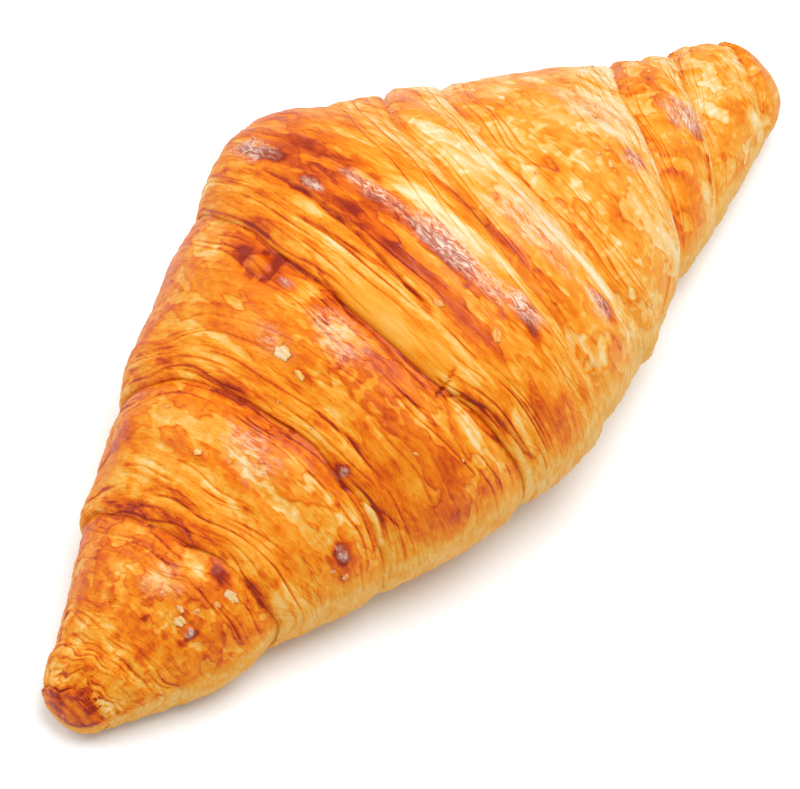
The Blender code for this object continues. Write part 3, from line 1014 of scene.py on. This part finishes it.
def crust_material():
    crust = bpy.data.materials.new("baked_crust")
    crust.use_nodes = True
    tree = crust.node_tree
    shader = tree.nodes["Principled BSDF"]
    grain = add_node(tree, "ShaderNodeUVMap", uv_map="grain").outputs["UV"]
    baked = add_node(tree, "ShaderNodeAttribute", attribute_name="baked")
    parts = add_node(tree, "ShaderNodeSeparateColor")
    tree.links.new(baked.outputs["Color"], parts.inputs["Color"])
    tone, gloss, rough_glaze_and_glint = parts.outputs[0], parts.outputs[1], parts.outputs[2]

    streaks = grain_noise(tree, grain, (3.2, 0.32), 3.0)
    hairs = grain_noise(tree, grain, (1.6, 0.13), 2.0)
    specks = grain_noise(tree, grain, (0.9, 0.55), 2.5)
    crinkle = grain_noise(tree, grain, (1.7, 0.55), 3.0)
    crinkle.node.inputs["Distortion"].default_value = 0.9
    vein = layer_lines(tree, grain_noise(tree, grain, (9.0, 1.0), 2.0))
    thread = layer_lines(tree, grain_noise(tree, grain, (5.0, 0.55), 1.5))

    varied = tone
    for pattern, middle, strength in (
        (streaks, 0.5, 0.28),
        (hairs, 0.5, 0.18),
        (specks, 0.5, 0.12),
        (vein, 0.0, 0.11),
        (thread, 0.0, 0.07),
    ):
        change = math_node(tree, "MULTIPLY_ADD", pattern, strength)
        change.node.inputs[2].default_value = -middle * strength
        varied = math_node(tree, "ADD", varied, math_node(tree, "MULTIPLY", change, baked.outputs["Alpha"]))

    # Painted shade in the hollows of the crinkled glaze and painted light on its ridges, through the tone.
    glaze_shading_share = math_node(tree, "MULTIPLY", rough_glaze_and_glint, tone)
    crinkle_shading = math_node(tree, "MULTIPLY", math_node(tree, "SUBTRACT", 0.53, crinkle), 1.6)
    varied = math_node(tree, "ADD", varied, math_node(tree, "MULTIPLY", crinkle_shading, glaze_shading_share))

    ramp = add_node(tree, "ShaderNodeValToRGB")
    stops = ramp.color_ramp.elements
    while len(stops) < len(BAKED_COLOURS):
        stops.new(1.0)
    for stop, (place, colour) in zip(stops, BAKED_COLOURS):
        stop.position = place
        stop.color = (*linear(colour), 1)
    tree.links.new(varied, ramp.inputs[0])
    # A pinkish tint over the rough glaze: partly its own colour, partly painted sheen.
    blushed = add_node(tree, "ShaderNodeMix", data_type="RGBA")
    blushed.inputs["B"].default_value = (*linear(BLUSH_COLOUR), 1)
    tree.links.new(ramp.outputs["Color"], blushed.inputs["A"])
    tree.links.new(math_node(tree, "MULTIPLY", glaze_shading_share, 0.5), blushed.inputs["Factor"])
    # Painted highlights on the ridges of the crinkled glaze.
    glinted = add_node(tree, "ShaderNodeMix", data_type="RGBA")
    glinted.inputs["B"].default_value = (*linear(GLINT_COLOUR), 1)
    tree.links.new(blushed.outputs["Result"], glinted.inputs["A"])
    glint_spots = add_node(tree, "ShaderNodeMapRange")
    glint_spots.inputs["From Min"].default_value = 0.44
    glint_spots.inputs["From Max"].default_value = 0.62
    glint_spots.inputs["To Min"].default_value = 0.08
    glint_spots.inputs["To Max"].default_value = 0.92
    tree.links.new(crinkle, glint_spots.inputs["Value"])
    glint_share = math_node(tree, "MULTIPLY", rough_glaze_and_glint, glint_spots.outputs["Result"])
    tree.links.new(glint_share, glinted.inputs["Factor"])
    tree.links.new(glinted.outputs["Result"], shader.inputs["Base Color"])

    shine = add_node(tree, "ShaderNodeMapRange")
    shine.inputs["To Min"].default_value = 0.62
    shine.inputs["To Max"].default_value = 0.34
    tree.links.new(gloss, shine.inputs["Value"])
    tree.links.new(shine.outputs["Result"], shader.inputs["Roughness"])
    thin_coat = math_node(tree, "MULTIPLY", gloss, 0.18)
    coat = math_node(tree, "ADD", thin_coat, math_node(tree, "MULTIPLY", rough_glaze_and_glint, 0.16))
    tree.links.new(coat, shader.inputs["Coat Weight"])
    shader.inputs["Coat Roughness"].default_value = 0.24
    shader.inputs["Specular IOR Level"].default_value = 0.08

    combed = math_node(tree, "MULTIPLY", streaks, 0.8)
    bumps = math_node(tree, "ADD", combed, math_node(tree, "MULTIPLY", hairs, 0.35))
    crumpled = math_node(tree, "MULTIPLY", crinkle, math_node(tree, "MULTIPLY", rough_glaze_and_glint, 2.4))
    bumps = math_node(tree, "ADD", bumps, crumpled)
    relief = add_node(tree, "ShaderNodeBump")
    relief.inputs["Strength"].default_value = 0.55
    relief.inputs["Distance"].default_value = 0.25 * MM
    tree.links.new(bumps, relief.inputs["Height"])
    tree.links.new(relief.outputs["Normal"], shader.inputs["Normal"])
    return crust


def add_piece(mesh, name, material):
    piece = bpy.data.objects.new(name, mesh)
    bpy.context.scene.collection.objects.link(piece)
    mesh.materials.append(material)
    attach(piece, "root")
    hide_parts("croissant")
    return piece


# The photograph's view: turned round Z, looking down, and how far off, in degrees and millimetres.
VIEW_TURN = 48.86
VIEW_DOWN = 58.0
VIEW_DISTANCE = 650.0
VIEW_TARGET = (0.0, -6.0, 20.0)
VIEW_OFFSET = (-3.46, -9.72)  # right and up, in the picture plane
VIEW_LENS = 190.8


def add_camera():
    turn, down = math.radians(VIEW_TURN), math.radians(VIEW_DOWN)
    right = Vector((math.cos(turn), -math.sin(turn), 0))
    level = Vector((math.sin(turn), math.cos(turn), 0))
    forward = level * math.cos(down) - Vector((0, 0, 1)) * math.sin(down)
    up = right.cross(forward)
    place = Vector(VIEW_TARGET) + right * VIEW_OFFSET[0] + up * VIEW_OFFSET[1]
    place -= forward * VIEW_DISTANCE
    camera = bpy.data.objects.new("camera", bpy.data.cameras.new("camera"))
    camera.data.lens = VIEW_LENS
    camera.data.sensor_width = 36.0
    camera.data.clip_start = 0.01
    camera.matrix_world = Matrix(
        (
            (right.x, up.x, -forward.x, place.x * MM),
            (right.y, up.y, -forward.y, place.y * MM),
            (right.z, up.z, -forward.z, place.z * MM),
            (0, 0, 0, 1),
        )
    )
    bpy.context.scene.collection.objects.link(camera)
    bpy.context.scene.camera = camera


def add_floor():
    shape = bmesh.new()
    bmesh.ops.create_grid(shape, x_segments=1, y_segments=1, size=2.0)
    mesh = bpy.data.meshes.new("floor")
    shape.to_mesh(mesh)
    shape.free()
    paint = bpy.data.materials.new("white_sweep")
    paint.use_nodes = True
    shader = paint.node_tree.nodes["Principled BSDF"]
    shader.inputs["Base Color"].default_value = (0.905, 0.95, 0.99, 1)
    shader.inputs["Roughness"].default_value = 0.9
    shader.inputs["Specular IOR Level"].default_value = 0.1
    mesh.materials.append(paint)
    floor = bpy.data.objects.new("floor", mesh)
    bpy.context.scene.collection.objects.link(floor)


# Soft boxes: where they hang from the croissant, their size in metres and their power in watts.
SOFT_BOXES = {
    "overhead": ((0.10, -0.10, 0.57), 0.44, 3.0),
    "behind": ((-0.25, 0.45, 0.40), 0.40, 1.2),
}
SKY_LIGHT = 0.64


def add_lights():
    for name, (place, size, power) in SOFT_BOXES.items():
        box = bpy.data.lights.new(name, "AREA")
        box.shape = "DISK"
        box.size = size
        box.energy = power
        lamp = bpy.data.objects.new(name, box)
        lamp.location = place
        lamp.rotation_euler = (-Vector(place)).to_track_quat("-Z", "Y").to_euler()
        bpy.context.scene.collection.objects.link(lamp)
    world = bpy.data.worlds.new("white_tent")
    world.use_nodes = True
    world.node_tree.nodes["Background"].inputs["Color"].default_value = (1, 1, 1, 1)
    world.node_tree.nodes["Background"].inputs["Strength"].default_value = SKY_LIGHT
    bpy.context.scene.world = world
    bpy.context.scene.view_settings.view_transform = "Standard"


def main():
    add_camera()
    add_floor()
    add_lights()
    crust = crust_material()
    flakes, framed = all_flakes(), []
    for number, turn in enumerate(TURNS):
        mesh, here = turn_mesh(number, flakes)
        add_piece(mesh, turn[0] + "_skin", crust)
        framed += here
    add_piece(flakes_mesh(framed), "crust_flakes", crust)


main()
